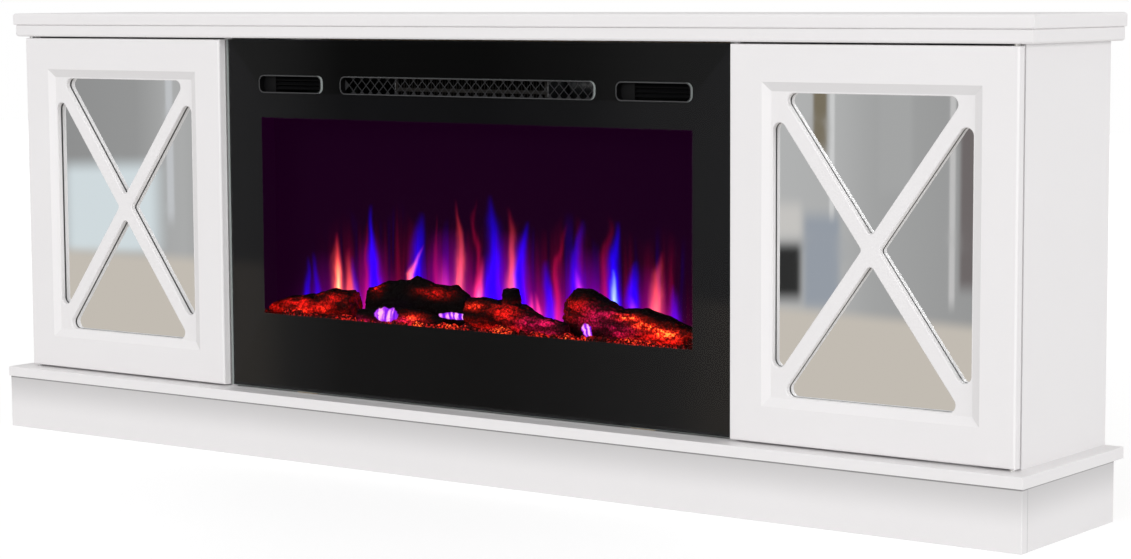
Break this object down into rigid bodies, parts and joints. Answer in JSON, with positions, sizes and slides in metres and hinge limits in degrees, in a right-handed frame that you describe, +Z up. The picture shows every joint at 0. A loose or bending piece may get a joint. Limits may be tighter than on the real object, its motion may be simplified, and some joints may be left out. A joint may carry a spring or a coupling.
{
  "type": "fireplace tv stand",
  "caption": "White media cabinet with an electric fireplace in the middle bay, mirrored lattice doors on pivots at both sides, a wide base ledge on a plinth and a double-board top.",
  "frame": {"origin": "on the floor under the middle of the cabinet's outline", "axes": "+X to the viewer's right along the cabinet, +Y from the front to the back, +Z up"},
  "size_m": [1.78, 0.28, 0.651],
  "materials": {
    "white_lacquer": "satin white lacquer on board",
    "raw_board": "unpainted board",
    "white_hardboard": "matt white hardboard",
    "beech": "bare wood",
    "pin_steel": "zinc-plated",
    "clip_steel": "zinc-plated",
    "grey_plastic": "matt",
    "nylon": "matt",
    "mirror": "silvered glass",
    "foam_tape": "foam",
    "clear_glass": "polished",
    "black_print": "fired black print",
    "black_steel": "matt black paint",
    "collar_metal": "satin grey paint",
    "black_plastic": "matt",
    "zinc_steel": "galvanised",
    "fin_aluminium": "bare",
    "circuit_board": "green board",
    "flame_screen": "smoked translucent sheet",
    "ember_resin": "translucent moulded resin",
    "log_resin": "moulded resin, bark texture"
  },
  "bodies": {
    "cabinet": {"back_panels": "white_hardboard", "back_rails": "raw_board", "base_ledge": "white_lacquer", "blower_housing": "zinc_steel", "blower_motor": "zinc_steel", "carcass_dowels": "beech", "case_back": "black_steel", "case_bottom": "black_steel", "case_sides": "black_steel", "case_top": "black_steel", "control_board": "circuit_board", "cord_gland": "black_plastic", "ember_bed": "ember_resin", "flame_screen": "flame_screen", "front_flange": "black_steel", "front_glass": "clear_glass", "front_log": "log_resin", "glass_print": "black_print", "heater_deck": "black_steel", "heating_element": "fin_aluminium", "insert_runners": "raw_board", "intake_louvres": "black_plastic", "left_divider": "white_lacquer", "left_log": "log_resin", "left_shelf": "white_lacquer", "left_side_panel": "white_lacquer", "light_boards": "circuit_board", "magnetic_catches": "grey_plastic", "middle_log": "log_resin", "outlet_mesh": "black_steel", "pivot_pins": "pin_steel", "plinth_back_rail": "raw_board", "plinth_cross_braces": "raw_board", "plinth_ends": "white_lacquer", "plinth_front": "white_lacquer", "rear_log": "log_resin", "right_divider": "white_lacquer", "right_log": "log_resin", "right_shelf": "white_lacquer", "right_side_panel": "white_lacquer", "shelf_pins": "pin_steel", "spindle_bearing": "black_steel", "spindle_motor": "zinc_steel", "top_board": "white_lacquer", "top_moulding": "white_lacquer", "vent_collars": "collar_metal"},
    "left_door": {"left_door_panel": "white_lacquer", "left_mirror": "mirror", "left_mirror_tape": "foam_tape", "left_mirror_clips": "clip_steel", "left_pivot_bushes": "nylon", "left_strike_plate": "pin_steel"},
    "right_door": {"right_door_panel": "white_lacquer", "right_mirror": "mirror", "right_mirror_tape": "foam_tape", "right_mirror_clips": "clip_steel", "right_pivot_bushes": "nylon", "right_strike_plate": "pin_steel"},
    "blower": {"blower_wheel": "fin_aluminium"},
    "flame_rotor": {"flame_spindle": "fin_aluminium"}
  },
  "joints": [
    {"name": "left_door_hinge", "type": "hinge", "parent": "cabinet", "child": "left_door", "pos_m": [-0.857, -0.104, 0.355], "axis": [0, 0, -1], "range_deg": [0, 110]},
    {"name": "right_door_hinge", "type": "hinge", "parent": "cabinet", "child": "right_door", "pos_m": [0.857, -0.104, 0.355], "axis": [0, 0, 1], "range_deg": [0, 110]},
    {"name": "blower_spin", "type": "hinge", "parent": "cabinet", "child": "blower", "pos_m": [0, -0.018, 0.5532], "axis": [1, 0, 0], "continuous": true},
    {"name": "flame_spin", "type": "hinge", "parent": "cabinet", "child": "flame_rotor", "pos_m": [0, 0.019, 0.1552], "axis": [1, 0, 0], "continuous": true}
  ]
}
